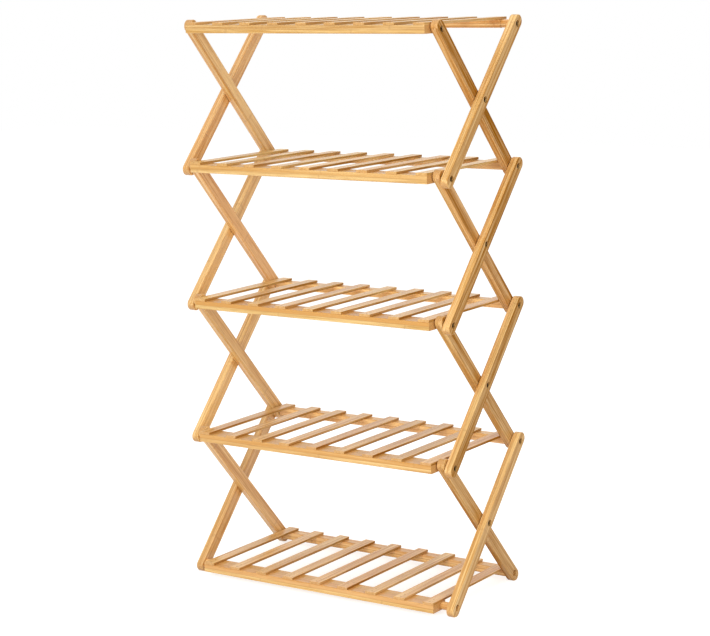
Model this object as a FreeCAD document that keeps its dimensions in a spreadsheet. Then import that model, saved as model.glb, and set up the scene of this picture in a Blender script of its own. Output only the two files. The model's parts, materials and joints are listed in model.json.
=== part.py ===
"""Folding shoe rack: slatted shelves between two scissor frames of crossed bamboo bars.

Millimetres. +Z is up, the front is -Y and the right is +X. The origin is on the floor, under the middle
of the rack's box. Shelf 1 is the lowest; tier 1 is the pair of crosses between shelves 1 and 2.
"""
import FreeCAD, Part
import Sketcher
import math
import os

from FreeCAD import Placement, Rotation, Vector

SHELVES = 5
TIERS = SHELVES - 1
SLATS = 9
NAILS_PER_SLAT = 2
CATCHES = 3
SLATS_BETWEEN_CATCHES = 3
SIDES = {"left": -1, "right": 1}

# Driving dimensions: the name of each, its size and what it measures.
DIMENSIONS = [
    ("rack_width", 500, "over the outer faces of the outer bars"),
    ("tier_height", 221.5, "from one shelf's pivots up to the next's, rack open"),
    ("pivot_depth", 203, "from the front pivots back to the back pivots, rack open"),
    ("foot_trim", 0.9, "cut off the lowest bars' round ends so that they stand flat"),
    ("bar_width", 20.5, "across a bar, seen from the rack's end"),
    ("bar_thickness", 12.5, "of a bar, along the rack's width"),
    ("bar_reach", 15.5, "from an end pivot to the bar's rounded end"),
    ("bar_edge", 1.5, "rounding of a bar's long edges"),
    ("washer_diameter", 13, "of all washers"),
    ("washer_thickness", 0.8, "between an outer and an inner bar"),
    ("rail_washer_thickness", 1.2, "between an inner bar and a rail's end"),
    ("spacer_diameter", 13, "of the round spacers that stand in for a missing inner bar"),
    ("rail_height", 13, "of the front and back rails"),
    ("rail_edge", 1.2, "rounding of a rail's long edges"),
    ("front_rail_depth", 36, "front to back"),
    ("front_rail_lead", 27, "from the front pivots forward to the front rail's face"),
    ("back_rail_depth", 20, "front to back"),
    ("back_rail_lag", 13.5, "from the back pivots back to the back rail's back face"),
    ("slat_width", 19.5, "along the rack's width"),
    ("slat_thickness", 4, "of a slat"),
    ("slat_edge", 0.6, "rounding of a slat's long edges"),
    ("catch_width", 14, "of the lug under a slat, along the rack's width"),
    ("catch_depth", 5, "of the lug, front to back"),
    ("catch_height", 6, "of the lug, below the slat"),
    ("bolt_diameter", 5, "of every pivot bolt's shank"),
    ("bolt_grip", 32, "length of a bolt inside a rail"),
    ("screw_grip", 9, "length of a centre bolt inside an inner bar"),
    ("head_diameter", 9, "of a bolt's head"),
    ("head_height", 3.2, "of a bolt's head"),
    ("socket_width", 4, "across the flats of a head's socket"),
    ("socket_depth", 2, "of a head's socket"),
    ("sink_diameter", 10.5, "of the recess that hides a head"),
    ("sink_depth", 6, "of that recess"),
    ("nail_diameter", 1.6, "of a slat nail"),
    ("nail_length", 11, "of a slat nail with its head"),
    ("nail_head_diameter", 2.8, "of a nail's head"),
    ("nail_head_height", 0.8, "of a nail's head"),
    ("nail_inset", 6, "from a slat's front end back to its first nail"),
    ("nail_spacing", 12, "between the two nails of a slat"),
    ("running_clearance", 0.05, "radial, between a bolt and a bore that turns on it"),
    ("open_clearance", 0.1, "radial, at the back pivots of the inner bars"),
    ("side_clearance", 0.1, "between a washer or a head and what turns beside it"),
    ("seat_clearance", 0.3, "between a shelf and what it rests on or turns beside"),
]

doc = FreeCAD.newDocument("folding_shoe_rack")
sheet = doc.addObject("Spreadsheet::Sheet", "dims")
for row, (alias, size, meaning) in enumerate(DIMENSIONS, start=1):
    sheet.set("A%d" % row, alias)
    sheet.set("B%d" % row, str(size))
    sheet.set("C%d" % row, meaning)
    sheet.setAlias("B%d" % row, alias)
doc.recompute()


def value(formula):
    """The number that a formula of the sheet's names gives."""
    return float(sheet.evalExpression(formula))


# Places across the rack's width, from the middle outwards, as formulas.
OUTER_FACE = "dims.rack_width / 2"
OUTER_BACK = "(dims.rack_width / 2 - dims.bar_thickness)"
INNER_FACE = "(%s - dims.washer_thickness - dims.side_clearance)" % OUTER_BACK
INNER_BACK = "(%s - dims.bar_thickness)" % INNER_FACE
RAIL_END = "(%s - dims.rail_washer_thickness - dims.seat_clearance)" % INNER_BACK
BOLT_TIP = "(%s - dims.bolt_grip)" % RAIL_END

# Sizes that follow from the driving ones.
BAR_SPAN = "sqrt(dims.pivot_depth^2 + dims.tier_height^2)"
BAR_ROUND = "dims.bar_width / 2"
BAR_END = "(dims.bar_reach - dims.bar_width / 2)"
FIRST_SLAT = "(dims.slat_width / 2 - %s)" % RAIL_END
SLAT_PITCH = "((2 * %s - dims.slat_width) / %d)" % (RAIL_END, SLATS - 1)
SLAT_REACH = "(dims.pivot_depth + dims.back_rail_lag)"
BORE = "(dims.bolt_diameter + 2 * dims.running_clearance)"
OPEN_BORE = "(dims.bolt_diameter + 2 * dims.open_clearance)"
NAIL_BORE = "(dims.nail_diameter + 2 * dims.running_clearance)"
RAIL_TOP = "dims.rail_height / 2"
BLIND_RELIEF = 1.0

# Below these a length, or a volume that a pocket takes away, counts as nothing.
TINY = 1e-6
LEAST_CUT = 1e-3

# The rack's pivots in its end view, with the open rack's box centred front to back, and the bars' lean.
BAR_OVERHANG = "(%s + %s * dims.pivot_depth / %s)" % (BAR_ROUND, BAR_END, BAR_SPAN)
FOOT_HEIGHT = "(%s + %s * dims.tier_height / %s - dims.foot_trim)" % (BAR_ROUND, BAR_END, BAR_SPAN)
FRONT_Y = "((dims.front_rail_lead - dims.pivot_depth - %s) / 2)" % BAR_OVERHANG
BACK_Y = "(%s + dims.pivot_depth)" % FRONT_Y
MIDDLE_Y = "(%s + dims.pivot_depth / 2)" % FRONT_Y
lean = math.atan2(value("dims.pivot_depth"), value("dims.tier_height"))


def shelf_z(shelf):
    """Height of a shelf's pivots above the floor."""
    return "(%s + %d * dims.tier_height)" % (FOOT_HEIGHT, shelf - 1)


def crossing_z(tier):
    """Height of a tier's centre pivots."""
    return "(%s + dims.tier_height / 2)" % shelf_z(tier)


# Helpers for bodies and sketches: every place and size in them follows a formula of the sheet.
def put_at(item, x, y, z, turn=Rotation()):
    item.Placement = Placement(Vector(value(x), value(y), value(z)), turn)
    for axis, formula in (("x", x), ("y", y), ("z", z)):
        item.setExpression("Placement.Base." + axis, formula)


def new_body(label, x="0", y="0", z="0", turn=Rotation()):
    body = doc.addObject("PartDesign::Body", label)
    body.Label = label
    body.AllowCompound = True
    put_at(body, x, y, z, turn)
    return body


def origin_feature(body, role):
    return next(item for item in body.Origin.OriginFeatures if item.Role == role)


def new_sketch(body, plane, height="0"):
    """A sketch on one of the body's own planes, raised along the plane's normal."""
    sketch = body.newObject("Sketcher::SketchObject", body.Name + "_sketch")
    sketch.AttachmentSupport = [(origin_feature(body, plane), "")]
    sketch.MapMode = "FlatFace"
    sketch.setExpression("AttachmentOffset.Base.z", height)
    return sketch


def bind(sketch, constraint, formula):
    index = sketch.addConstraint(constraint)
    sketch.setExpression("Constraints[%d]" % index, formula)


def place(sketch, direction, geometry, point, formula):
    """Fixes one coordinate of a point, measured from the sketch's origin."""
    distance = value(formula)
    axis = -2 if direction == "DistanceX" else -1
    if abs(distance) < TINY:
        sketch.addConstraint(Sketcher.Constraint("PointOnObject", geometry, point, axis))
    elif distance > 0:
        bind(sketch, Sketcher.Constraint(direction, -1, 1, geometry, point, distance), formula)
    else:
        bind(sketch, Sketcher.Constraint(direction, geometry, point, -1, 1, -distance), "-(%s)" % formula)


def draw_circle(sketch, x, y, diameter):
    centre = Vector(value(x), value(y), 0)
    circle = sketch.addGeometry(Part.Circle(centre, Vector(0, 0, 1), value(diameter) / 2))
    bind(sketch, Sketcher.Constraint("Diameter", circle, value(diameter)), diameter)
    place(sketch, "DistanceX", circle, 3, x)
    place(sketch, "DistanceY", circle, 3, y)


def draw_rectangle(sketch, left, right, bottom, top):
    corners = [(left, bottom), (right, bottom), (right, top), (left, top)]
    points = [Vector(value(x), value(y), 0) for x, y in corners]
    lines = [sketch.addGeometry(Part.LineSegment(points[i], points[(i + 1) % 4])) for i in range(4)]
    for i in range(4):
        sketch.addConstraint(Sketcher.Constraint("Coincident", lines[i], 2, lines[(i + 1) % 4], 1))
        direction = "Horizontal" if i % 2 == 0 else "Vertical"
        sketch.addConstraint(Sketcher.Constraint(direction, lines[i]))
    place(sketch, "DistanceX", lines[0], 1, left)
    place(sketch, "DistanceY", lines[0], 1, bottom)
    place(sketch, "DistanceX", lines[2], 1, right)
    place(sketch, "DistanceY", lines[2], 1, top)


def draw_hexagon(sketch, across_flats):
    corner = "%s / sqrt(3)" % across_flats
    circle = sketch.addGeometry(Part.Circle(Vector(0, 0, 0), Vector(0, 0, 1), value(corner)), True)
    sketch.addConstraint(Sketcher.Constraint("Coincident", circle, 3, -1, 1))
    bind(sketch, Sketcher.Constraint("Radius", circle, value(corner)), corner)
    points = [Vector(0, value(corner), 0)]
    for step in range(1, 6):
        points.append(Rotation(Vector(0, 0, 1), 60 * step).multVec(points[0]))
    lines = [sketch.addGeometry(Part.LineSegment(points[i], points[(i + 1) % 6])) for i in range(6)]
    for i in range(6):
        sketch.addConstraint(Sketcher.Constraint("Coincident", lines[i], 2, lines[(i + 1) % 6], 1))
        sketch.addConstraint(Sketcher.Constraint("PointOnObject", lines[i], 1, circle))
    for i in range(1, 6):
        sketch.addConstraint(Sketcher.Constraint("Equal", lines[0], lines[i]))
    sketch.addConstraint(Sketcher.Constraint("PointOnObject", lines[0], 1, -2))


def draw_bar_outline(sketch):
    """A long slot: the lower pivot at the sketch's origin, the upper one along its X axis."""
    radius, end, span = value(BAR_ROUND), value(BAR_END), value(BAR_SPAN)
    normal = Vector(0, 0, 1)
    low_circle = Part.Circle(Vector(-end, 0, 0), normal, radius)
    high_circle = Part.Circle(Vector(span + end, 0, 0), normal, radius)
    low = sketch.addGeometry(Part.ArcOfCircle(low_circle, math.pi / 2, 3 * math.pi / 2))
    near = sketch.addGeometry(Part.LineSegment(Vector(-end, -radius, 0), Vector(span + end, -radius, 0)))
    high = sketch.addGeometry(Part.ArcOfCircle(high_circle, -math.pi / 2, math.pi / 2))
    far = sketch.addGeometry(Part.LineSegment(Vector(span + end, radius, 0), Vector(-end, radius, 0)))
    outline = [low, near, high, far]
    for i in range(4):
        sketch.addConstraint(Sketcher.Constraint("Tangent", outline[i], 2, outline[(i + 1) % 4], 1))
    sketch.addConstraint(Sketcher.Constraint("Equal", low, high))
    bind(sketch, Sketcher.Constraint("Radius", low, radius), BAR_ROUND)
    place(sketch, "DistanceX", low, 3, "-%s" % BAR_END)
    place(sketch, "DistanceY", low, 3, "0")
    place(sketch, "DistanceX", high, 3, "%s + %s" % (BAR_SPAN, BAR_END))
    place(sketch, "DistanceY", high, 3, "0")


# Feature helpers.
def add_pad(body, sketch, length, symmetric=False, downwards=False):
    pad = body.newObject("PartDesign::Pad", body.Name + "_pad")
    pad.Profile = sketch
    pad.SideType = "Symmetric" if symmetric else "One side"
    pad.Reversed = downwards
    pad.setExpression("Length", length)
    doc.recompute()
    return pad


def add_pocket(body, sketch, depth, along_normal=False):
    """Cuts against the sketch's normal, or along it, and makes sure that it did cut."""
    before = body.Shape.Volume
    pocket = body.newObject("PartDesign::Pocket", body.Name + "_pocket")
    pocket.Profile = sketch
    pocket.Reversed = along_normal
    pocket.setExpression("Length", depth)
    doc.recompute()
    if not body.Shape.Volume < before - LEAST_CUT:
        raise RuntimeError("a pocket of %s cuts nothing" % body.Label)


def add_fillet(body, feature, radius, wanted):
    """Rounds the edges of the last feature that the test picks out."""
    names = ["Edge%d" % number for number, edge in enumerate(feature.Shape.Edges, start=1) if wanted(edge)]
    fillet = body.newObject("PartDesign::Fillet", body.Name + "_fillet")
    fillet.Base = (feature, names)
    fillet.setExpression("Radius", radius)
    doc.recompute()


def repeat_along(body, axis, length, count):
    pattern = body.newObject("PartDesign::LinearPattern", body.Name + "_row")
    pattern.TransformMode = "Whole shape"
    pattern.Direction = (origin_feature(body, axis), [""])
    pattern.Mode = "Extent"
    pattern.setExpression("Length", length)
    pattern.Occurrences = count
    body.Tip = pattern
    doc.recompute()


def repeat_mirrored(body):
    """The other end's copy, across the rack's middle plane."""
    mirror = body.newObject("PartDesign::Mirrored", body.Name + "_pair")
    mirror.TransformMode = "Whole shape"
    mirror.MirrorPlane = (origin_feature(body, "YZ_Plane"), [""])
    body.Tip = mirror
    doc.recompute()


def runs_along(direction):
    """A test for straight edges that run in one direction."""
    def test(edge):
        if edge.Curve.TypeId != "Part::GeomLine":
            return False
        return abs(abs(edge.tangentAt(edge.FirstParameter).dot(direction)) - 1) < TINY
    return test


def lies_flat(edge):
    """True for the outline edges of a bar's two faces."""
    return edge.BoundBox.ZLength < TINY


# The pieces.
def make_bar(label, side, layer, tier):
    """One bar, lying on its back face in its own frame, its lower pivot at the frame's origin."""
    outer = layer == "outer"
    leaning = math.sin(lean) if outer else -math.sin(lean)
    along = Vector(0, leaning, math.cos(lean))
    outward = Vector(side, 0, 0)
    turn = Rotation(along, outward.cross(along), outward, "ZXY")
    back = "%d * %s" % (side, OUTER_BACK if outer else INNER_BACK)
    body = new_body(label, back, FRONT_Y if outer else BACK_Y, shelf_z(tier), turn)

    outline = new_sketch(body, "XY_Plane")
    draw_bar_outline(outline)
    pad = add_pad(body, outline, "dims.bar_thickness")
    add_fillet(body, pad, "dims.bar_edge", lies_flat)

    pivots = {"low": "0", "centre": "%s / 2" % BAR_SPAN, "high": BAR_SPAN}
    through = new_sketch(body, "XY_Plane", "dims.bar_thickness")
    low_bore = BORE if outer or tier == 1 else OPEN_BORE
    draw_circle(through, pivots["low"], "0", low_bore)
    draw_circle(through, pivots["high"], "0", BORE)
    if outer:
        draw_circle(through, pivots["centre"], "0", BORE)
    add_pocket(body, through, "dims.bar_thickness")
    if not outer:
        blind = new_sketch(body, "XY_Plane", "dims.bar_thickness")
        draw_circle(blind, pivots["centre"], "0", BORE)
        add_pocket(body, blind, "dims.screw_grip + dims.running_clearance")

    sunk = ["low", "centre", "high"]
    if not outer:
        sunk = [name for name, last in (("low", 1), ("high", TIERS)) if tier == last]
    if sunk:
        sinks = new_sketch(body, "XY_Plane", "dims.bar_thickness")
        for name in sunk:
            draw_circle(sinks, pivots[name], "0", "dims.sink_diameter")
        add_pocket(body, sinks, "dims.sink_depth")
    return body


def make_standing_bar(label, side, layer):
    """A lowest bar: the same, with its foot cut level with the floor."""
    bar = make_bar(label + "_uncut", side, layer, 1)
    ground = doc.addObject("Part::Box", label + "_ground")
    ground.setExpression("Length", "dims.rack_width")
    ground.setExpression("Width", "2 * dims.pivot_depth")
    ground.setExpression("Height", "dims.bar_reach")
    put_at(ground, "-dims.rack_width / 2", "-dims.pivot_depth", "-dims.bar_reach")
    standing = doc.addObject("Part::Cut", label)
    standing.Base = bar
    standing.Tool = ground
    standing.Label = label
    return standing


def make_rail(label, pivot_y, shelf, front, back, top):
    """A rail along the rack's width, bored at both ends for its bolts, which lie on its frame's X axis."""
    body = new_body(label, y=pivot_y, z=shelf_z(shelf))
    section = new_sketch(body, "YZ_Plane")
    draw_rectangle(section, "-(%s)" % front, back, "-dims.rail_height / 2", top)
    pad = add_pad(body, section, "2 * %s" % RAIL_END, symmetric=True)
    add_fillet(body, pad, "dims.rail_edge", runs_along(Vector(1, 0, 0)))
    for sign in SIDES.values():
        bore = new_sketch(body, "YZ_Plane", "%d * %s" % (sign, RAIL_END))
        draw_circle(bore, "0", "0", BORE)
        add_pocket(body, bore, "dims.bolt_grip + %g" % BLIND_RELIEF, along_normal=sign < 0)
    return body


def make_front_rail(shelf):
    rail = make_rail("front_rail_%d" % shelf, FRONT_Y, shelf, "dims.front_rail_lead",
                     "dims.front_rail_depth - dims.front_rail_lead", RAIL_TOP)
    holes = new_sketch(rail, "XY_Plane", RAIL_TOP)
    for slat in range(SLATS):
        for nail in range(NAILS_PER_SLAT):
            draw_circle(holes, "%s + %d * %s" % (FIRST_SLAT, slat, SLAT_PITCH), nail_y(nail), NAIL_BORE)
    add_pocket(rail, holes, "dims.nail_length - dims.slat_thickness + %g" % BLIND_RELIEF)
    return rail


def make_back_rail(shelf):
    """The back rail lies just under the slats and is notched behind for their catches."""
    rail = make_rail("back_rail_%d" % shelf, BACK_Y, shelf, "dims.back_rail_depth - dims.back_rail_lag",
                     "dims.back_rail_lag", "%s - dims.seat_clearance" % RAIL_TOP)
    notches = new_sketch(rail, "XY_Plane", RAIL_TOP)
    half = "(dims.catch_width / 2 + dims.seat_clearance)"
    for catch in range(CATCHES):
        middle = "%d * %s" % ((catch - CATCHES // 2) * SLATS_BETWEEN_CATCHES, SLAT_PITCH)
        draw_rectangle(notches, "%s - %s" % (middle, half), "%s + %s" % (middle, half),
                       "dims.back_rail_lag - dims.catch_depth - dims.seat_clearance",
                       "dims.back_rail_depth")
    add_pocket(rail, notches, "dims.catch_height + dims.seat_clearance")
    return rail


def nail_y(nail):
    """Place of a slat's first or second nail, from the front pivots."""
    return "(dims.nail_inset + %d * dims.nail_spacing - dims.front_rail_lead)" % nail


def make_slats(shelf):
    """The slats of one shelf, seated on its front rail; the caught ones have a lug under their back end."""
    body = new_body("slats_%d" % shelf, FIRST_SLAT, FRONT_Y, shelf_z(shelf))
    plan = new_sketch(body, "XY_Plane", RAIL_TOP)
    draw_rectangle(plan, "-dims.slat_width / 2", "dims.slat_width / 2", "-dims.front_rail_lead", SLAT_REACH)
    pad = add_pad(body, plan, "dims.slat_thickness")
    add_fillet(body, pad, "dims.slat_edge", runs_along(Vector(0, 1, 0)))
    for diameter, depth in ((NAIL_BORE, "dims.slat_thickness"),
                            ("dims.nail_head_diameter + 2 * dims.running_clearance",
                             "dims.nail_head_height + dims.running_clearance")):
        holes = new_sketch(body, "XY_Plane", "%s + dims.slat_thickness" % RAIL_TOP)
        for nail in range(NAILS_PER_SLAT):
            draw_circle(holes, "0", nail_y(nail), diameter)
        add_pocket(body, holes, depth)
    repeat_along(body, "X_Axis", "%d * %s" % (SLATS - 1, SLAT_PITCH), SLATS)

    lugs = new_sketch(body, "XY_Plane", RAIL_TOP)
    for catch in range(CATCHES):
        slat = (SLATS - 1) // 2 + (catch - CATCHES // 2) * SLATS_BETWEEN_CATCHES
        middle = "%d * %s" % (slat, SLAT_PITCH)
        draw_rectangle(lugs, "%s - dims.catch_width / 2" % middle, "%s + dims.catch_width / 2" % middle,
                       "%s - dims.catch_depth" % SLAT_REACH, SLAT_REACH)
    add_pad(body, lugs, "dims.catch_height", downwards=True)
    return body


def make_nails(shelf):
    """The nails through a shelf's slats into its front rail, heads just below the slats' faces."""
    body = new_body("slat_nails_%d" % shelf, FIRST_SLAT, FRONT_Y, shelf_z(shelf))
    head_top = "(%s + dims.slat_thickness - dims.running_clearance)" % RAIL_TOP
    for diameter, length in (("dims.nail_diameter", "dims.nail_length"),
                             ("dims.nail_head_diameter", "dims.nail_head_height")):
        ring = new_sketch(body, "XY_Plane", head_top)
        for nail in range(NAILS_PER_SLAT):
            draw_circle(ring, "0", nail_y(nail), diameter)
        add_pad(body, ring, length, downwards=True)
    repeat_along(body, "X_Axis", "%d * %s" % (SLATS - 1, SLAT_PITCH), SLATS)
    return body


def make_bolts(label, y, z, bar_face, tip):
    """A left and a right bolt on one pivot axis, each with its head sunk in a bar's outer face."""
    body = new_body(label, y=y, z=z)
    seat = "(%s - dims.sink_depth + dims.side_clearance)" % bar_face
    shank = new_sketch(body, "YZ_Plane", tip)
    draw_circle(shank, "0", "0", "dims.bolt_diameter")
    add_pad(body, shank, "%s - %s" % (seat, tip))
    head = new_sketch(body, "YZ_Plane", seat)
    draw_circle(head, "0", "0", "dims.head_diameter")
    add_pad(body, head, "dims.head_height")
    socket = new_sketch(body, "YZ_Plane", "%s + dims.head_height" % seat)
    draw_hexagon(socket, "dims.socket_width")
    add_pocket(body, socket, "dims.socket_depth")
    repeat_mirrored(body)
    return body


def make_rings(label, pivots, inside, thickness, diameter):
    """Washers or spacers: a ring round each pivot's bolt, at both ends of the rack."""
    body = new_body(label)
    rings = new_sketch(body, "YZ_Plane", inside)
    for y, z in pivots:
        draw_circle(rings, y, z, diameter)
        draw_circle(rings, y, z, OPEN_BORE)
    add_pad(body, rings, thickness)
    repeat_mirrored(body)
    return body


def make_frames():
    """The crossed bars of both ends, with the bolts and washers of their pivots."""
    made = []
    for tier in range(1, TIERS + 1):
        for layer in ("outer", "inner"):
            for side_name, side in SIDES.items():
                label = "%s_bar_%s_%d" % (layer, side_name, tier)
                if tier == 1:
                    made.append(make_standing_bar(label, side, layer))
                else:
                    made.append(make_bar(label, side, layer, tier))
        low = (FRONT_Y, shelf_z(tier))
        centre = (MIDDLE_Y, crossing_z(tier))
        high = (BACK_Y, shelf_z(tier + 1))
        crossed = [centre]
        if tier > 1:
            crossed.append(low)
        if tier < TIERS:
            crossed.append(high)
        made.append(make_rings("bar_washers_%d" % tier, crossed, "%s - dims.washer_thickness" % OUTER_BACK,
                               "dims.washer_thickness", "dims.washer_diameter"))
        ends = [(BACK_Y, shelf_z(tier)), (FRONT_Y, shelf_z(tier + 1))]
        made.append(make_rings("rail_washers_%d" % tier, ends, "%s - dims.rail_washer_thickness" % INNER_BACK,
                               "dims.rail_washer_thickness", "dims.washer_diameter"))
        made.append(make_bolts("centre_bolts_%d" % tier, MIDDLE_Y, crossing_z(tier), OUTER_FACE,
                               "(%s - dims.screw_grip)" % INNER_FACE))
    return made


def make_shelves():
    """Rails, slats, nails and rail bolts of every shelf."""
    made = []
    for shelf in range(1, SHELVES + 1):
        front_bar = INNER_FACE if shelf == SHELVES else OUTER_FACE
        back_bar = INNER_FACE if shelf == 1 else OUTER_FACE
        made.append(make_front_rail(shelf))
        made.append(make_back_rail(shelf))
        made.append(make_slats(shelf))
        made.append(make_nails(shelf))
        made.append(make_bolts("front_bolts_%d" % shelf, FRONT_Y, shelf_z(shelf), front_bar, BOLT_TIP))
        made.append(make_bolts("back_bolts_%d" % shelf, BACK_Y, shelf_z(shelf), back_bar, BOLT_TIP))
    return made


def make_spacers():
    """Round spacers where an outer bar has no inner bar beside it: bottom front and top back."""
    inside = "(%s + dims.seat_clearance)" % RAIL_END
    length = "%s - dims.side_clearance - %s" % (OUTER_BACK, inside)
    pivots = {"bottom_spacers": (FRONT_Y, shelf_z(1)), "top_spacers": (BACK_Y, shelf_z(SHELVES))}
    return [make_rings(label, [pivot], inside, length, "dims.spacer_diameter")
            for label, pivot in pivots.items()]


def check(pieces):
    """Stops the build if anything failed or a piece has no sound shape."""
    doc.recompute()
    for item in doc.Objects:
        if "Invalid" in item.State or "Error" in item.State:
            raise RuntimeError("%s failed: %s" % (item.Label, item.State))
    for piece in pieces:
        if piece.Shape.isNull() or not piece.Shape.isValid() or not piece.Shape.Solids:
            raise RuntimeError("%s has no sound shape" % piece.Label)


pieces = make_frames() + make_shelves() + make_spacers()
check(pieces)
os.makedirs("parts", exist_ok=True)
for piece in pieces:
    piece.Shape.exportStep("parts/%s.step" % piece.Label)
print("%d nodes, %d solids" % (len(pieces), sum(len(piece.Shape.Solids) for piece in pieces)))
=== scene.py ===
"""A five-tier folding shoe rack of laminated bamboo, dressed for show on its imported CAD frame."""
import json
import math

import bpy
from mathutils import Matrix, Vector


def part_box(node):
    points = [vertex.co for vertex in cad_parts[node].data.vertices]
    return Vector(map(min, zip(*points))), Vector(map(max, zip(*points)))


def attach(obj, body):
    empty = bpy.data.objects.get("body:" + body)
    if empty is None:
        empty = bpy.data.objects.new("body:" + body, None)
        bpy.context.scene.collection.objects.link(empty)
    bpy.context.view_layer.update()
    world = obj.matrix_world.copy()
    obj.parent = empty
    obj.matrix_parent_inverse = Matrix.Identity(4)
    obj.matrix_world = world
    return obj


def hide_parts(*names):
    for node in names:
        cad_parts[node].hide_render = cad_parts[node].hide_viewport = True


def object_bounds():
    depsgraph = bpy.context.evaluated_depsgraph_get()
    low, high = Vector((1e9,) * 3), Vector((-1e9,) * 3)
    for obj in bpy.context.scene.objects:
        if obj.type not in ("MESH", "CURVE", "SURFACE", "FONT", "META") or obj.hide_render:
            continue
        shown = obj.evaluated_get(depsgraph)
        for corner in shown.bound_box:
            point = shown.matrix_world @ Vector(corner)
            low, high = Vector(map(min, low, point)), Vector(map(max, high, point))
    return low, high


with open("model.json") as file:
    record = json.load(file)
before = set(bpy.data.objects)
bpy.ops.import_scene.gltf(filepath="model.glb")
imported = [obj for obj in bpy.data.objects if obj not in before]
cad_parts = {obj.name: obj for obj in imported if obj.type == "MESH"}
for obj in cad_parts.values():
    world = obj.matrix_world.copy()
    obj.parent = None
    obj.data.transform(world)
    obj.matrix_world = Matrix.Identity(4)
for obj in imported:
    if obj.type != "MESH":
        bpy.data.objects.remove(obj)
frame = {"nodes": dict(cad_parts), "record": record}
cad_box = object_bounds()
nodes = frame["nodes"]
scene = bpy.context.scene

MM = 0.001
X = Vector((1, 0, 0))
Y = Vector((0, 1, 0))
Z = Vector((0, 0, 1))

# The rack's make-up, in mm. Plies and strips have a width, and a seam or a whole strip at the middle.
SHELVES = 5
TIERS = 4
SLATS = 9
SLAT_WIDTH = 19.5
SEAM_AT_MIDDLE = 0.0
STRIP_AT_MIDDLE = 0.5
BAR_PLIES = (7.5, SEAM_AT_MIDDLE)
RAIL_PLIES = (8.0, SEAM_AT_MIDDLE)
FRONT_RAIL_STRIPS = (20.0, SEAM_AT_MIDDLE)
WIDER_THAN_ANY = 1000.0
ONE_PIECE = (WIDER_THAN_ANY, STRIP_AT_MIDDLE)

# How the wood differs from piece to piece, numbered from the lowest. Skin is how much browner the faces on
# the culm's skin side are, partly the skin's own tone and partly painted shade, upper how much browner the
# upper ply is, tone how bright the wood is, on some pieces raised or lowered as painted light or sheen, and
# yellow a shift of its hue.
# Partly painted shade: the bars' outward faces are browned for their skin and for the shade on them
BAR_SKIN_AND_SHADE = {"outer": {1: 0.40, 2: 0.72, 3: 0.68, 4: 0.48}, "inner": {1: 0.52, 2: 0.68, 3: 0.66, 4: 0.80}}
# Painted shade on the right inner bars' front faces, which look forward and down
RIGHT_INNER_FRONT_PAINTED_SHADE = {1: 0.55, 2: 0.30, 3: 0.38, 4: 0.38}
# Painted light: the left inner bars are made brighter, or darker on the top tier, for the light they catch
LEFT_INNER_TONE_AND_PAINTED_LIGHT = {1: 1.05, 2: 1.03, 3: 1.05, 4: 0.90}
FRONT_RAIL_UPPER = {1: 0.50, 2: 0.58, 3: 0.88, 4: 0.40, 5: 0.05}
FRONT_RAIL_TONE = {1: 0.98, 2: 0.98, 3: 0.98, 4: 0.97, 5: 0.91}
FRONT_RAIL_YELLOW = 0.005
# Painted light: the back rails are brightened, or darkened on the fourth shelf, for the light between the
# slats
BACK_RAIL_TONE_AND_PAINTED_LIGHT = {1: 1.12, 2: 1.10, 3: 1.12, 4: 0.95, 5: 1.05}
# Partly painted shade: the slats' side faces are browned for their skin and for the shade under and between
# slats
SLAT_SKIN_AND_SHADE = {1: 0.66, 2: 0.68, 3: 0.64, 4: 0.62, 5: 0.45}
# Partly painted sheen: the third and fourth shelves' slats are paler for the lacquer's grazing sheen
SLAT_TONE_AND_PAINTED_SHEEN = {1: 1.04, 2: 1.03, 3: 1.08, 4: 1.08, 5: 1.0}
SLAT_YELLOW = {1: 0.0, 2: 0.0, 3: 0.003, 4: 0.006, 5: 0.003}
SLAT_END_GRAIN = 0.65

# Seeds of the random numbers, one for each length of wood
SEED_STEP = 1.37
BACK_RAIL_SEED = 0.5
SLAT_SEED = 0.9

# The camera, found by lining up the rack's pivots with the photograph. Its place is in m.
PHOTO_WIDTH = 710
FOCAL_PIXELS = 2042.0
SENSOR_MM = 36.0
CAMERA_PLACE = Vector((1.81605, -2.68788, 1.00404))
CAMERA_YAW = math.radians(-33.942)
CAMERA_PITCH = math.radians(-9.988)
CAMERA_ROLL = math.radians(-1.233)


def make_camera():
    """The camera at the photograph's viewing angle."""
    ahead = Vector((math.sin(CAMERA_YAW) * math.cos(CAMERA_PITCH),
                    math.cos(CAMERA_YAW) * math.cos(CAMERA_PITCH),
                    math.sin(CAMERA_PITCH)))
    level = Vector((math.cos(CAMERA_YAW), -math.sin(CAMERA_YAW), 0))
    upright = level.cross(ahead)
    right = level * math.cos(CAMERA_ROLL) + upright * math.sin(CAMERA_ROLL)
    top = upright * math.cos(CAMERA_ROLL) - level * math.sin(CAMERA_ROLL)
    lens = bpy.data.cameras.new("photo_camera")
    lens.sensor_width = SENSOR_MM
    lens.lens = FOCAL_PIXELS / PHOTO_WIDTH * SENSOR_MM
    camera = bpy.data.objects.new("photo_camera", lens)
    turn = Matrix((right, top, -ahead)).transposed().to_4x4()
    camera.matrix_world = Matrix.Translation(CAMERA_PLACE) @ turn
    scene.collection.objects.link(camera)
    scene.camera = camera


def linear(hex_colour):
    """The linear RGBA of an sRGB hex value."""
    parts = [int(hex_colour[at:at + 2], 16) / 255 for at in (1, 3, 5)]
    return [part / 12.92 if part <= 0.04045 else ((part + 0.055) / 1.055) ** 2.4 for part in parts] + [1.0]


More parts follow.
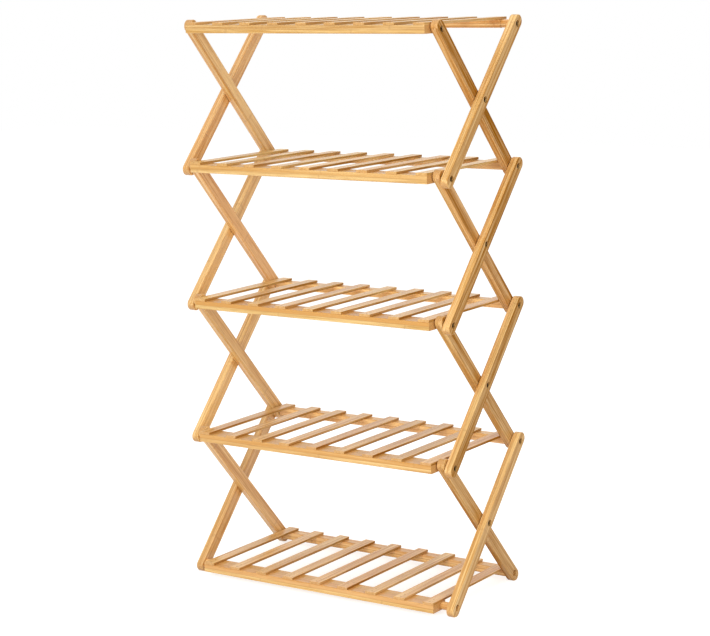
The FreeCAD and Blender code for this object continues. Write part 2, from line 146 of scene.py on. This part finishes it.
def add(tree, kind, links=None, **settings):
    """Adds a node with its settings, and links or sets the inputs that links names. Returns its outputs."""
    node = tree.nodes.new("ShaderNode" + kind)
    for name, value in settings.items():
        setattr(node, name, value)
    for socket, source in (links or {}).items():
        if isinstance(source, bpy.types.NodeSocket):
            tree.links.new(source, node.inputs[socket])
        else:
            node.inputs[socket].default_value = source
    return node.outputs


# A colour mix node's sockets, which share their names with those for other kinds of value
FACTOR, FIRST, SECOND, MIXED = 0, 6, 7, 2
# A ping-pong of a half gives the distance to the nearest whole number
NEAREST_WHOLE = 0.5


def new_material(name):
    """An empty node material and its tree."""
    material = bpy.data.materials.new(name)
    material.use_nodes = True
    material.node_tree.nodes.clear()
    return material, material.node_tree


# Moso bamboo, split, planed and glued up, then sanded and given a clear satin lacquer. The eye sees
# straight honey-coloured fibres with short dark dashes, now and then a faint crosswise knuckle, a thin glue
# line between strips of different tone, browner faces where the culm's dense skin side lies, browned further
# as painted shade, and dotted brown end grain.
FIBRE_DARK = "#cc9247"
FIBRE_PALE = "#f8cf8d"
DASH = "#96602a"
# The skin side's brown, which is also painted shade on the side faces
SKIN_AND_PAINTED_SHADE = "#985f10"
UPPER_PLY = "#d08f47"
KNUCKLE = "#a9733a"
KNUCKLE_HALO = "#eec283"
GLUE = "#9c672f"
END_DARK = "#9f6a31"
END_PALE = "#d09d5e"

# Strips: how far off in mm a strip's wood may have grown, and the range of its tone. The ply below a middle
# seam has the number -1 and the one above it 0.
GRAIN_SHIFT = 700.0
STRIP_HUE = (0.4945, 0.5030)
STRIP_VALUE = (0.93, 1.06)
PLY_BELOW, PLY_ABOVE = -1.0, 0.0

# Streaks and dashes: width and length in mm, and a streak's share. A spread is the noise from darkest to
# palest, or from none to most. Fibres are a third of a millimetre across. The two wider streaks are drawn
# coarser, so that they show.
STREAKS = ((5.0, 240.0, 0.46), (1.8, 90.0, 0.34), (0.45, 28.0, 0.20))
STREAK_DETAIL = 2.0
FIBRE_SPREAD = (0.39, 0.61)
DASH_SIZE = (0.9, 26.0)
DASH_SPREAD = (0.58, 0.72)
DASH_STRENGTH = 0.32

# Knuckles: their spacing and waviness in mm, then the paler band and the dark line in it, each with its
# reach in mm, its strength and its colour
KNUCKLE_SPACING = 235.0
KNUCKLE_BEND = 9.09
KNUCKLE_WAVE = 7.0
KNUCKLE_BANDS = ((2.0, 9.0, 0.14, KNUCKLE_HALO), (0.4, 2.6, 0.26, KNUCKLE))

# Glue lines are a third of a millimetre wide and drawn a little wider, so that they show
SEAM_REACH = (0.1, 0.5)
SEAM_STRENGTH = 0.45

# End grain, and skin sides that also carry painted shade. Facing is how squarely a face has to point that
# way.
END_FACING = (0.6, 0.97)
PORE_SIZE = 0.9
PORE_EDGE = (0.15, 0.5)
SKIN_AND_SHADE_FACING = (0.6, 0.95)
SKIN_AND_SHADE_SPREAD = (0.40, 0.60)
SKIN_AND_SHADE_STREAK = (1.4, 0.6)

# The lacquer, and the wood under it, which has no gloss of its own. Relief is in mm.
LACQUER = 1.0
LACQUER_ROUGHNESS = 0.30
LACQUER_IOR = 1.5
RELIEF = 0.12
RELIEF_STRENGTH = 0.5
WOOD_SPREAD = (0.3, 0.7)
WOOD_ROUGHNESS = (0.66, 0.54)
WOOD_GLOSS = 0.0


def glued_strips(tree, grain, plies, strips, pitch, seed):
    """Which strip a point is in. Returns its place across the plies and across the strips, the ply's number,
    random numbers for the strip, and the place in the strip's own wood."""
    part = add(tree, "SeparateXYZ", {0: grain})
    cell_at = add(tree, "Math", {0: part["X"], 1: pitch}, operation="DIVIDE")[0]
    cell = add(tree, "Math", {0: cell_at}, operation="ROUND")[0]
    ply_at = add(tree, "Math", {0: part["Y"], 1: 1 / plies[0], 2: plies[1]}, operation="MULTIPLY_ADD")[0]
    ply = add(tree, "Math", {0: ply_at}, operation="FLOOR")[0]
    strip_at = add(tree, "Math", {0: part["X"], 1: 1 / strips[0], 2: strips[1]}, operation="MULTIPLY_ADD")[0]
    strip = add(tree, "Math", {0: strip_at}, operation="FLOOR")[0]
    where = add(tree, "CombineXYZ", {"X": strip, "Y": ply, "Z": cell})[0]
    draw = add(tree, "TexWhiteNoise", {"Vector": where, "W": seed}, noise_dimensions="4D")["Color"]
    chance = add(tree, "SeparateColor", {0: draw})
    shift = add(tree, "VectorMath", {0: draw, 1: [GRAIN_SHIFT] * 3}, operation="MULTIPLY")[0]
    own = add(tree, "VectorMath", {0: grain, 1: shift}, operation="ADD")[0]
    return ply_at, strip_at, ply, chance, own


def fibre_streaks(tree, own):
    """Lengthwise streaks, with dark dashes where bundles of vessels are cut. Returns the colour, all the
    streaks added up, and the finest of them."""
    fibres = 0.0
    for width, length, share in STREAKS:
        stretched = add(tree, "VectorMath", {0: own, 1: (1 / width, 1 / width, 1 / length)},
                        operation="MULTIPLY")[0]
        streak = add(tree, "TexNoise", {"Vector": stretched, "Scale": 1.0, "Detail": STREAK_DETAIL})["Fac"]
        fibres = add(tree, "Math", {0: streak, 1: share, 2: fibres}, operation="MULTIPLY_ADD")[0]
    pale = add(tree, "MapRange", {"Value": fibres, "From Min": FIBRE_SPREAD[0],
                                  "From Max": FIBRE_SPREAD[1]})["Result"]
    colour = add(tree, "Mix", {FACTOR: pale, FIRST: linear(FIBRE_DARK), SECOND: linear(FIBRE_PALE)},
                 data_type="RGBA")[MIXED]
    width, length = DASH_SIZE
    stretched = add(tree, "VectorMath", {0: own, 1: (1 / width, 1 / width, 1 / length)},
                    operation="MULTIPLY")[0]
    bundle = add(tree, "TexNoise", {"Vector": stretched, "Scale": 1.0, "Detail": 1.0})["Fac"]
    dash = add(tree, "MapRange", {"Value": bundle, "From Min": DASH_SPREAD[0], "From Max": DASH_SPREAD[1],
                                  "To Max": DASH_STRENGTH})["Result"]
    colour = add(tree, "Mix", {FACTOR: dash, FIRST: colour, SECOND: linear(DASH)}, data_type="RGBA")[MIXED]
    return colour, fibres, streak


def knuckles(tree, colour, grain, own, chance):
    """A wavy dark line across each strip, in a paler band. Returns the colour and the line."""
    lengthwise = add(tree, "SeparateXYZ", {0: grain})["Z"]
    bend = add(tree, "TexNoise", {"Vector": own, "Scale": 1 / KNUCKLE_BEND, "Detail": 1.0})["Fac"]
    wavy = add(tree, "Math", {0: bend, 1: KNUCKLE_WAVE, 2: lengthwise}, operation="MULTIPLY_ADD")[0]
    count = add(tree, "Math", {0: wavy, 1: 1 / KNUCKLE_SPACING, 2: chance["Green"]},
                operation="MULTIPLY_ADD")[0]
    away = add(tree, "Math", {0: count, 1: NEAREST_WHOLE}, operation="PINGPONG")[0]
    away = add(tree, "Math", {0: away, 1: KNUCKLE_SPACING}, operation="MULTIPLY")[0]
    for near, far, strength, shade in KNUCKLE_BANDS:
        band = add(tree, "MapRange", {"Value": away, "From Min": near, "From Max": far, "To Min": strength,
                                      "To Max": 0.0}, interpolation_type="SMOOTHSTEP")["Result"]
        colour = add(tree, "Mix", {FACTOR: band, FIRST: colour, SECOND: linear(shade)},
                     data_type="RGBA")[MIXED]
    return colour, band


def strip_tones(tree, colour, ply, chance, tone, yellow, upper):
    """A tone of its own for each strip, and a browner upper ply. Returns the colour."""
    above = add(tree, "MapRange", {"Value": ply, "From Min": PLY_BELOW, "From Max": PLY_ABOVE,
                                   "To Max": upper})["Result"]
    colour = add(tree, "Mix", {FACTOR: above, FIRST: colour, SECOND: linear(UPPER_PLY)},
                 data_type="RGBA")[MIXED]
    hue = add(tree, "MapRange", {"Value": chance["Blue"], "To Min": STRIP_HUE[0] + yellow,
                                 "To Max": STRIP_HUE[1] + yellow})["Result"]
    value = add(tree, "MapRange", {"Value": chance["Red"], "To Min": STRIP_VALUE[0] * tone,
                                   "To Max": STRIP_VALUE[1] * tone})["Result"]
    return add(tree, "HueSaturation", {"Hue": hue, "Value": value, "Color": colour})["Color"]


def glue_lines(tree, colour, layers):
    """Dark lines where plies and strips meet. Layers are the place across the plies and across the strips,
    each with its width. Returns the colour and the lines."""
    seams = []
    for at, width in layers:
        away = add(tree, "Math", {0: at, 1: NEAREST_WHOLE}, operation="PINGPONG")[0]
        away = add(tree, "Math", {0: away, 1: width}, operation="MULTIPLY")[0]
        seams.append(add(tree, "MapRange", {"Value": away, "From Min": SEAM_REACH[0],
                                            "From Max": SEAM_REACH[1], "To Min": SEAM_STRENGTH,
                                            "To Max": 0.0})["Result"])
    seam = add(tree, "Math", {0: seams[0], 1: seams[1]}, operation="MAXIMUM")[0]
    colour = add(tree, "Mix", {FACTOR: seam, FIRST: colour, SECOND: linear(GLUE)}, data_type="RGBA")[MIXED]
    return colour, seam


def end_grain(tree, colour, normal, own, along, ends):
    """Dotted brown pores on the faces that cut across the fibres. Returns the colour."""
    facing = add(tree, "VectorMath", {0: normal, 1: along}, operation="DOT_PRODUCT")["Value"]
    facing = add(tree, "Math", {0: facing}, operation="ABSOLUTE")[0]
    end = add(tree, "MapRange", {"Value": facing, "From Min": END_FACING[0], "From Max": END_FACING[1],
                                 "To Max": ends})["Result"]
    pores = add(tree, "TexVoronoi", {"Vector": own, "Scale": 1 / PORE_SIZE})["Distance"]
    ring = add(tree, "MapRange", {"Value": pores, "From Min": PORE_EDGE[0],
                                  "From Max": PORE_EDGE[1]})["Result"]
    cut = add(tree, "Mix", {FACTOR: ring, FIRST: linear(END_DARK), SECOND: linear(END_PALE)},
              data_type="RGBA")[MIXED]
    return add(tree, "Mix", {FACTOR: end, FIRST: colour, SECOND: cut}, data_type="RGBA")[MIXED]


def skin_and_painted_shade_sides(tree, colour, normal, fibres, skins):
    """Browner, streaky faces on the culm's skin side, which take less lacquer. The browning is partly the
    skin's own and partly painted shade. Returns the colour and the lacquer."""
    lacquer = LACQUER
    streak = add(tree, "MapRange", {"Value": fibres, "From Min": SKIN_AND_SHADE_SPREAD[0], "From Max": SKIN_AND_SHADE_SPREAD[1],
                                    "To Min": SKIN_AND_SHADE_STREAK[0], "To Max": SKIN_AND_SHADE_STREAK[1]})["Result"]
    for direction, amount in skins:
        side = add(tree, "VectorMath", {0: normal, 1: direction}, operation="DOT_PRODUCT")["Value"]
        dark = add(tree, "MapRange", {"Value": side, "From Min": SKIN_AND_SHADE_FACING[0], "From Max": SKIN_AND_SHADE_FACING[1],
                                      "To Max": amount})["Result"]
        dark = add(tree, "Math", {0: dark, 1: streak}, operation="MULTIPLY", use_clamp=True)[0]
        colour = add(tree, "Mix", {FACTOR: dark, FIRST: colour, SECOND: linear(SKIN_AND_PAINTED_SHADE)},
                     data_type="RGBA")[MIXED]
        lacquer = add(tree, "Math", {0: dark, 1: -LACQUER, 2: lacquer}, operation="MULTIPLY_ADD",
                      use_clamp=True)[0]
    return colour, lacquer


def bamboo(name, centre, through, along, plies=ONE_PIECE, strips=ONE_PIECE, pitch=WIDER_THAN_ANY, seed=0.0,
           tone=1.0, yellow=0.0, upper=0.0, ends=1.0, skins=()):
    """Lacquered bamboo for one piece. Plies are stacked in the through direction and strips lie side by side
    across it. Pieces that repeat across the grain stand pitch mm apart. Tone brightens the wood, on some
    pieces as painted light, yellow shifts its hue, and upper is how much browner the ply above the middle
    is.
    Ends is how much of the end grain shows. Skins and shade are the directions in which browner faces point,
    each with how much browner they are, the browning being partly the skin's and partly painted shade."""
    material, tree = new_material(name)
    place = add(tree, "TexCoord")
    turn = Matrix((through.cross(along), through, along)).transposed().to_euler()
    grain = add(tree, "Mapping", {"Vector": place["Object"], "Location": centre, "Rotation": turn,
                                  "Scale": (MM, MM, MM)}, vector_type="TEXTURE")["Vector"]
    ply_at, strip_at, ply, chance, own = glued_strips(tree, grain, plies, strips, pitch, seed)
    colour, fibres, fine = fibre_streaks(tree, own)
    colour, line = knuckles(tree, colour, grain, own, chance)
    colour = strip_tones(tree, colour, ply, chance, tone, yellow, upper)
    colour, seam = glue_lines(tree, colour, ((ply_at, plies[0]), (strip_at, strips[0])))
    colour = end_grain(tree, colour, place["Normal"], own, along, ends)
    colour, lacquer = skin_and_painted_shade_sides(tree, colour, place["Normal"], fibres, skins)

    # All the gloss is the lacquer's, which is so thin that fibres, seams and knuckles show in it
    ridge = add(tree, "Math", {0: line, 1: fine}, operation="ADD")[0]
    height = add(tree, "Math", {0: ridge, 1: seam}, operation="SUBTRACT")[0]
    normal = add(tree, "Bump", {"Strength": RELIEF_STRENGTH, "Distance": RELIEF * MM,
                                "Height": height})["Normal"]
    rough = add(tree, "MapRange", {"Value": fibres, "From Min": WOOD_SPREAD[0], "From Max": WOOD_SPREAD[1],
                                   "To Min": WOOD_ROUGHNESS[0], "To Max": WOOD_ROUGHNESS[1]})["Result"]
    finish = add(tree, "BsdfPrincipled", {"Base Color": colour, "Roughness": rough, "Normal": normal,
                                          "Specular IOR Level": WOOD_GLOSS, "Coat Weight": lacquer,
                                          "Coat Roughness": LACQUER_ROUGHNESS, "Coat IOR": LACQUER_IOR,
                                          "Coat Normal": normal})
    add(tree, "OutputMaterial", {"Surface": finish["BSDF"]})
    return material


# Low-carbon steel, black-oxide finished and oiled. It is nearly black with a dull metal sheen, and rubbed
# brown-grey in patches. Both colours are darker than the oxide alone, as painted shade of the sunk holes the
# heads sit in. Patches and relief are in mm.
OXIDE_DARK_AND_PAINTED_SHADE = "#070605"
OXIDE_WORN_AND_PAINTED_SHADE = "#17120e"
OXIDE_PATCH = 2.5
OXIDE_DETAIL = 4.0
OXIDE_SPREAD = (0.45, 0.75)
OXIDE_ROUGHNESS = (0.55, 0.75)
OXIDE_RELIEF = 0.05
OXIDE_RELIEF_STRENGTH = 0.25
OXIDE_METALLIC = 0.7
OXIDE_GLOSS = 0.1


def black_oxide_steel():
    """The finish of all bolts but those of the lowest shelf."""
    material, tree = new_material("black_oxide_steel")
    place = add(tree, "TexCoord")["Object"]
    patches = add(tree, "TexNoise", {"Vector": place, "Scale": 1 / (OXIDE_PATCH * MM),
                                     "Detail": OXIDE_DETAIL})["Fac"]
    worn = add(tree, "MapRange", {"Value": patches, "From Min": OXIDE_SPREAD[0],
                                  "From Max": OXIDE_SPREAD[1]})["Result"]
    colour = add(tree, "Mix", {FACTOR: worn, FIRST: linear(OXIDE_DARK_AND_PAINTED_SHADE), SECOND: linear(OXIDE_WORN_AND_PAINTED_SHADE)},
                 data_type="RGBA")[MIXED]
    rough = add(tree, "MapRange", {"Value": patches, "To Min": OXIDE_ROUGHNESS[0],
                                   "To Max": OXIDE_ROUGHNESS[1]})["Result"]
    normal = add(tree, "Bump", {"Strength": OXIDE_RELIEF_STRENGTH, "Distance": OXIDE_RELIEF * MM,
                                "Height": patches})["Normal"]
    finish = add(tree, "BsdfPrincipled", {"Base Color": colour, "Roughness": rough, "Normal": normal,
                                          "Metallic": OXIDE_METALLIC, "Specular IOR Level": OXIDE_GLOSS})
    add(tree, "OutputMaterial", {"Surface": finish["BSDF"]})
    return material


# Drawn steel, headed and brass plated, for the nails and the lowest bolts, so that their heads are lost in
# the wood. It is yellow with fine die scratches and a little dulling. A scratch has a width and a length
# in mm.
BRASS_BRIGHT = "#dcb87c"
BRASS_DULL = "#b9935c"
SCRATCH_SIZE = (0.25, 8.0)
SCRATCH_DETAIL = 2.0
BRASS_ROUGHNESS = (0.28, 0.50)


def brass_plated_steel():
    """The finish of the nails and the lowest bolts."""
    material, tree = new_material("brass_plated_steel")
    place = add(tree, "TexCoord")["Object"]
    width, length = SCRATCH_SIZE[0] * MM, SCRATCH_SIZE[1] * MM
    drawn = add(tree, "VectorMath", {0: place, 1: (1 / width, 1 / width, 1 / length)},
                operation="MULTIPLY")[0]
    scratch = add(tree, "TexNoise", {"Vector": drawn, "Scale": 1.0, "Detail": SCRATCH_DETAIL})["Fac"]
    colour = add(tree, "Mix", {FACTOR: scratch, FIRST: linear(BRASS_BRIGHT), SECOND: linear(BRASS_DULL)},
                 data_type="RGBA")[MIXED]
    rough = add(tree, "MapRange", {"Value": scratch, "To Min": BRASS_ROUGHNESS[0],
                                   "To Max": BRASS_ROUGHNESS[1]})["Result"]
    finish = add(tree, "BsdfPrincipled", {"Base Color": colour, "Roughness": rough, "Metallic": 1.0})
    add(tree, "OutputMaterial", {"Surface": finish["BSDF"]})
    return material


# Injection-moulded natural nylon, ivory with a waxy, finely spark-eroded surface. Grit, clouds, relief and
# how far light goes into it are in mm.
NYLON_PALE = "#d9c7a3"
NYLON_DEEP = "#b99f74"
NYLON_GRIT = 0.6
NYLON_GRIT_DETAIL = 3.0
NYLON_CLOUD = 6.0
NYLON_ROUGHNESS = (0.42, 0.60)
NYLON_RELIEF = 0.03
NYLON_RELIEF_STRENGTH = 0.3
NYLON_IOR = 1.53
NYLON_MILKINESS = 0.15
NYLON_LIGHT_DEPTH = 0.8


def moulded_nylon():
    """The washers' finish."""
    material, tree = new_material("moulded_nylon")
    place = add(tree, "TexCoord")["Object"]
    grit = add(tree, "TexNoise", {"Vector": place, "Scale": 1 / (NYLON_GRIT * MM),
                                  "Detail": NYLON_GRIT_DETAIL})["Fac"]
    cloud = add(tree, "TexNoise", {"Vector": place, "Scale": 1 / (NYLON_CLOUD * MM), "Detail": 1.0})["Fac"]
    colour = add(tree, "Mix", {FACTOR: cloud, FIRST: linear(NYLON_PALE), SECOND: linear(NYLON_DEEP)},
                 data_type="RGBA")[MIXED]
    rough = add(tree, "MapRange", {"Value": grit, "To Min": NYLON_ROUGHNESS[0],
                                   "To Max": NYLON_ROUGHNESS[1]})["Result"]
    normal = add(tree, "Bump", {"Strength": NYLON_RELIEF_STRENGTH, "Distance": NYLON_RELIEF * MM,
                                "Height": grit})["Normal"]
    finish = add(tree, "BsdfPrincipled", {"Base Color": colour, "Roughness": rough, "Normal": normal,
                                          "IOR": NYLON_IOR, "Subsurface Weight": NYLON_MILKINESS,
                                          "Subsurface Scale": NYLON_LIGHT_DEPTH * MM})
    add(tree, "OutputMaterial", {"Surface": finish["BSDF"]})
    return material


def finish_node(name, material):
    """Gives a CAD node its finish."""
    for slot in nodes[name].material_slots:
        slot.material = material


def middle(name):
    """The middle of a CAD node's box."""
    low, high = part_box(name)
    return (low + high) / 2


def bar_lean():
    """The angle from upright at which the open rack's bars stand."""
    places = {joint["name"]: Vector(joint["pos_m"]) for joint in frame["record"]["behaviour"]["joints"]}
    rise = places["cross_1"] - places["fold"]
    return math.atan2(-rise.y, rise.z)


def finish_wood(name, through, along, cut_from=None, **looks):
    """Gives a CAD node its bamboo, laid out from its own middle or from that of the node it is cut from."""
    finish_node(name, bamboo("bamboo_" + name, middle(cut_from or name), through, along, **looks))


def finish_bars(seed):
    """Bamboo on the crossed bars, each cut from a different length. Returns the last seed."""
    lean = bar_lean()
    leans = {"outer": Vector((0, math.sin(lean), math.cos(lean))),
             "inner": Vector((0, -math.sin(lean), math.cos(lean)))}
    for layer, along in leans.items():
        for side, outward in (("left", -X), ("right", X)):
            for tier in range(1, TIERS + 1):
                seed += SEED_STEP
                skins = [(outward, BAR_SKIN_AND_SHADE[layer][tier])]
                tone = 1.0
                # The right inner bars get painted shade on their front faces as well
                if (layer, side) == ("inner", "right"):
                    front = along.cross(-X)
                    skins.append((front, RIGHT_INNER_FRONT_PAINTED_SHADE[tier]))
                # The left inner bars' tone carries painted light
                if (layer, side) == ("inner", "left"):
                    tone = LEFT_INNER_TONE_AND_PAINTED_LIGHT[tier]
                finish_wood("%s_bar_%s_%d" % (layer, side, tier), X, along, plies=BAR_PLIES, seed=seed,
                            tone=tone, skins=skins)
    return seed


def finish_shelves(seed):
    """Bamboo on the rails and slats, a shelf at a time. Returns the last seed."""
    for shelf in range(1, SHELVES + 1):
        seed += SEED_STEP
        finish_wood("front_rail_%d" % shelf, Z, X, plies=RAIL_PLIES, strips=FRONT_RAIL_STRIPS, seed=seed,
                    tone=FRONT_RAIL_TONE[shelf], yellow=FRONT_RAIL_YELLOW, upper=FRONT_RAIL_UPPER[shelf])
        finish_wood("back_rail_%d" % shelf, Z, X, plies=RAIL_PLIES, seed=seed + BACK_RAIL_SEED,
                    tone=BACK_RAIL_TONE_AND_PAINTED_LIGHT[shelf])
        name = "slats_%d" % shelf
        low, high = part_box(name)
        pitch = ((high.x - low.x) / MM - SLAT_WIDTH) / (SLATS - 1)
        finish_wood(name, Z, Y, pitch=pitch, seed=seed + SLAT_SEED, tone=SLAT_TONE_AND_PAINTED_SHEEN[shelf],
                    yellow=SLAT_YELLOW[shelf], ends=SLAT_END_GRAIN,
                    skins=((X, SLAT_SKIN_AND_SHADE[shelf]), (-X, SLAT_SKIN_AND_SHADE[shelf])))
    return seed


def finish_bamboo():
    """Lacquered bamboo on every wooden node. The top spacers are cut from the top back rail's length."""
    seed = finish_shelves(finish_bars(0.0))
    # The top spacers share the top back rail's tone, its painted light included
    finish_wood("top_spacers", Z, X, cut_from="back_rail_%d" % SHELVES, plies=RAIL_PLIES,
                seed=seed + BACK_RAIL_SEED, tone=BACK_RAIL_TONE_AND_PAINTED_LIGHT[SHELVES])
    finish_wood("bottom_spacers", Z, X, seed=seed + SEED_STEP)


# Button-head bolts, in mm
HEAD_HEIGHT = 3.2
CROWN_ROUNDING = 1.5
CROWN_STEPS = 6
SHANK_DIAMETER = 5
TIP_CHAMFER = 0.6
SOCKET_WIDTH = 4
SOCKET_DEPTH = 2
SOCKET_RIM = 0.15
SOCKET_RIM_STEPS = 2
ROUND_SIDES = 48
SOCKET_SIDES = 6
RIM_ANGLE = math.radians(50)
SMOOTH_ANGLE = math.radians(32)
ALONG_X = (0, math.pi / 2, 0)
LOWEST_BOLTS = ("front_bolts_1", "back_bolts_1")

# A face is square to X when its normal is this near to it. Faces lie in one plane when they are this near,
# in mm.
SQUARE = 0.99
ONE_PLANE = 0.01
# Bolts are alike when their places along X agree to this many digits of a metre
ALIKE_DIGITS = 5


def deselect_all():
    """Leaves nothing selected, since an operator acts on all that is."""
    bpy.ops.object.select_all(action="DESELECT")


def pick_cap(piece, sign):
    """Selects the flat end face of a piece that points along X in the given direction."""
    bpy.ops.object.mode_set(mode="EDIT")
    bpy.ops.mesh.select_mode(type="FACE")
    bpy.ops.mesh.select_all(action="DESELECT")
    bpy.ops.object.mode_set(mode="OBJECT")
    ends = [face for face in piece.data.polygons if face.normal.x * sign > SQUARE]
    farthest = max(face.center.x * sign for face in ends)
    for face in ends:
        face.select = farthest - face.center.x * sign < ONE_PLANE * MM
    bpy.ops.object.mode_set(mode="EDIT")


def add_bar(sides, radius, depth, at):
    """A round or many-sided bar along X, its middle at the given place on the X axis."""
    deselect_all()
    bpy.ops.mesh.primitive_cylinder_add(vertices=sides, radius=radius, depth=depth, location=(at, 0, 0),
                                        rotation=ALONG_X)
    bpy.ops.object.transform_apply(location=True, rotation=True, scale=True)
    return bpy.context.active_object


def cut_socket(bolt, crown):
    """Sinks a hexagon socket with a softened rim into a bolt's crown."""
    corner = SOCKET_WIDTH / 2 * MM / math.cos(math.pi / SOCKET_SIDES)
    key = add_bar(SOCKET_SIDES, corner, 2 * SOCKET_DEPTH * MM, crown)
    deselect_all()
    bolt.select_set(True)
    bpy.context.view_layer.objects.active = bolt
    cut = bolt.modifiers.new("socket", "BOOLEAN")
    cut.object = key
    cut.solver = "EXACT"
    bpy.ops.object.modifier_apply(modifier=cut.name)
    rim = bolt.modifiers.new("socket_rim", "BEVEL")
    rim.width = SOCKET_RIM * MM
    rim.segments = SOCKET_RIM_STEPS
    rim.limit_method = "ANGLE"
    rim.angle_limit = RIM_ANGLE
    bpy.ops.object.modifier_apply(modifier=rim.name)
    bpy.data.objects.remove(key)


def model_bolt(tip, crown, radius):
    """A button-head bolt along X, crown at the right: rounded head, hexagon socket, chamfered shank."""
    seat = crown - HEAD_HEIGHT * MM
    bolt = add_bar(ROUND_SIDES, radius, HEAD_HEIGHT * MM, (seat + crown) / 2)
    pick_cap(bolt, -1)
    bpy.ops.mesh.inset(thickness=radius - SHANK_DIAMETER / 2 * MM)
    chamfer = TIP_CHAMFER * MM
    bpy.ops.mesh.extrude_region_move(TRANSFORM_OT_translate={"value": (tip + chamfer - seat, 0, 0)})
    bpy.ops.mesh.extrude_region_move(TRANSFORM_OT_translate={"value": (-chamfer, 0, 0)})
    narrow = 1 - 2 * chamfer / (SHANK_DIAMETER * MM)
    bpy.ops.transform.resize(value=(1, narrow, narrow))
    pick_cap(bolt, 1)
    bpy.ops.mesh.region_to_loop()
    bpy.ops.mesh.bevel(offset=CROWN_ROUNDING * MM, segments=CROWN_STEPS, affect="EDGES")
    bpy.ops.object.mode_set(mode="OBJECT")
    cut_socket(bolt, crown)
    bpy.ops.object.shade_smooth_by_angle(angle=SMOOTH_ANGLE)
    return bolt


def fit_bolts(bolt, name, body, material):
    """Puts a left and a right copy of a modelled bolt in place of a CAD pair, as one piece."""
    axis = middle(name)
    pair = []
    for side, turn in (("right", 0), ("left", math.pi)):
        copy = bolt.copy()
        copy.data = bolt.data.copy()
        copy.data.transform(Matrix.Translation((0, axis.y, axis.z)) @ Matrix.Rotation(turn, 4, "Z"))
        copy.name = "%s_%s" % (name, side)
        scene.collection.objects.link(copy)
        pair.append(copy)
    deselect_all()
    for copy in pair:
        copy.select_set(True)
    bpy.context.view_layer.objects.active = pair[0]
    bpy.ops.object.join()
    made = pair[0]
    made.name = "fitted_" + name
    made.data.name = made.name
    made.data.materials.clear()
    made.data.materials.append(material)
    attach(made, body)
    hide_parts(name)


def make_bolts(brass):
    """The pivot and centre bolts, modelled once for each length."""
    black = black_oxide_steel()
    bodies = frame["record"]["behaviour"]["bodies"]
    patterns = {}
    for body, members in bodies.items():
        for name in members:
            if "_bolts_" not in name:
                continue
            low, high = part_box(name)
            tip = min(vertex.co.x for vertex in nodes[name].data.vertices if vertex.co.x > 0)
            size = (round(tip, ALIKE_DIGITS), round(high.x, ALIKE_DIGITS))
            if size not in patterns:
                patterns[size] = model_bolt(tip, high.x, (high.z - low.z) / 2)
            fit_bolts(patterns[size], name, body, brass if name in LOWEST_BOLTS else black)
    for pattern in patterns.values():
        bpy.data.objects.remove(pattern)


def finish_fittings(brass):
    """Nails and washers."""
    nylon = moulded_nylon()
    for shelf in range(1, SHELVES + 1):
        finish_node("slat_nails_%d" % shelf, brass)
    for tier in range(1, TIERS + 1):
        finish_node("bar_washers_%d" % tier, nylon)
        finish_node("rail_washers_%d" % tier, nylon)


# Studio light: how much the white surround and floor light the rack, and how they show. Lamps have a place
# from the rack's middle and a disc's size in m, and a power in W.
WHITE = "#ffffff"
AMBIENT = 0.58
FLOOR_SIZE = 14
FLOOR_BOUNCE = 0.78
FLOOR_SHADE = 0.60
FLOOR_GLOW = 0.75
LAMPS = {"key_lamp": ((0.4, -2.2, 0.4), 1.5, 24),
         "side_lamp": ((2.4, -0.6, 0.5), 1.5, 14),
         "top_lamp": ((-0.3, -0.4, 2.6), 2.2, 24)}


def seen_directly(tree):
    """1 on rays that show the studio itself, straight or mirrored, and 0 on rays that light the rack."""
    path = add(tree, "LightPath")
    shown = add(tree, "Math", {0: path["Is Camera Ray"], 1: path["Is Glossy Ray"]}, operation="MAXIMUM")[0]
    return add(tree, "Math", {0: shown, 1: path["Is Transmission Ray"]}, operation="MAXIMUM")[0]


def make_surround():
    """A white surround that lights the rack less than it shows."""
    world = bpy.data.worlds.new("white_surround")
    world.use_nodes = True
    world.node_tree.nodes.clear()
    scene.world = world
    strength = add(world.node_tree, "MapRange", {"Value": seen_directly(world.node_tree), "To Min": AMBIENT,
                                                 "To Max": 1.0})["Result"]
    sky = add(world.node_tree, "Background", {"Color": linear(WHITE), "Strength": strength})
    add(world.node_tree, "OutputWorld", {"Surface": sky["Background"]})


def make_floor():
    """A white paper floor that keeps a faint shadow of the rack."""
    deselect_all()
    bpy.ops.mesh.primitive_plane_add(size=FLOOR_SIZE, location=(0, 0, 0))
    floor = bpy.context.active_object
    floor.name = "studio_floor"
    material, tree = new_material("white_paper_floor")
    bounce = add(tree, "BsdfDiffuse", {"Color": [FLOOR_BOUNCE] * 3 + [1]})["BSDF"]
    shade = add(tree, "BsdfDiffuse", {"Color": [FLOOR_SHADE] * 3 + [1]})["BSDF"]
    glow = add(tree, "Emission", {"Color": linear(WHITE), "Strength": FLOOR_GLOW})["Emission"]
    shown = add(tree, "AddShader", {0: shade, 1: glow})["Shader"]
    both = add(tree, "MixShader", {0: seen_directly(tree), 1: bounce, 2: shown})["Shader"]
    add(tree, "OutputMaterial", {"Surface": both})
    floor.data.materials.append(material)


def make_lamps():
    """Soft lamps. They are not mirrored in the lacquer, where they would burn out when seen from behind."""
    centre = (cad_box[0] + cad_box[1]) / 2
    for name, (offset, size, power) in LAMPS.items():
        data = bpy.data.lights.new(name, "AREA")
        data.shape = "DISK"
        data.size = size
        data.energy = power
        lamp = bpy.data.objects.new(name, data)
        lamp.location = centre + Vector(offset)
        lamp.rotation_euler = (-Vector(offset)).to_track_quat("-Z", "Y").to_euler()
        lamp.visible_camera = False
        lamp.visible_glossy = False
        scene.collection.objects.link(lamp)


make_camera()
finish_bamboo()
plated = brass_plated_steel()
make_bolts(plated)
finish_fittings(plated)
make_surround()
make_floor()
make_lamps()
scene.view_settings.view_transform = "Standard"
